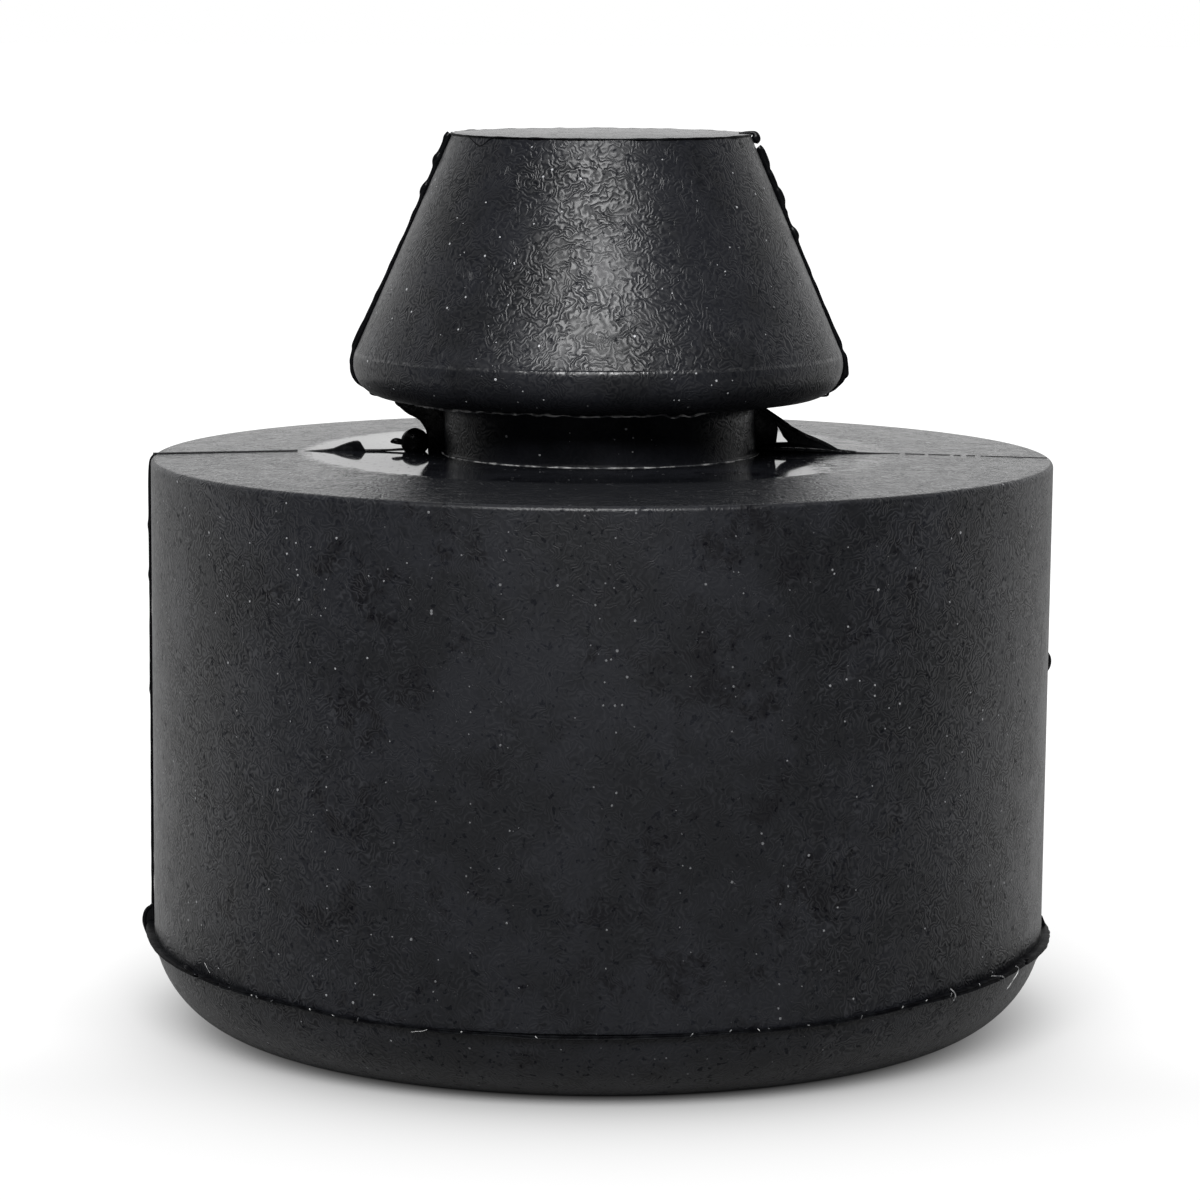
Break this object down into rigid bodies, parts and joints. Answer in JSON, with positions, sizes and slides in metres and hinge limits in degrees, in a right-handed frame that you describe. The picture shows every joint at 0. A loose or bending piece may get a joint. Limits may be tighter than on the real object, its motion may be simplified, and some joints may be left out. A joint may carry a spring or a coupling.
{
  "type": "rubber buffer",
  "caption": "Moulded black rubber buffer: a round drum with a flat striking face, and a cone-shaped push-in head on a short neck that grips a plate.",
  "frame": {"origin": "centre of the striking face, which the buffer stands on", "axes": "+Z along the axis, from the striking face to the head; +X in the parting plane of the mould, to the right in the picture; +Y away from the viewer"},
  "size_m": [0.0516, 0.0508, 0.0496],
  "materials": {
    "rubber": "moulded black rubber, finely wrinkled, with a polished seat"
  },
  "bodies": {
    "root": {"rubber_buffer": "rubber"}
  },
  "joints": []
}
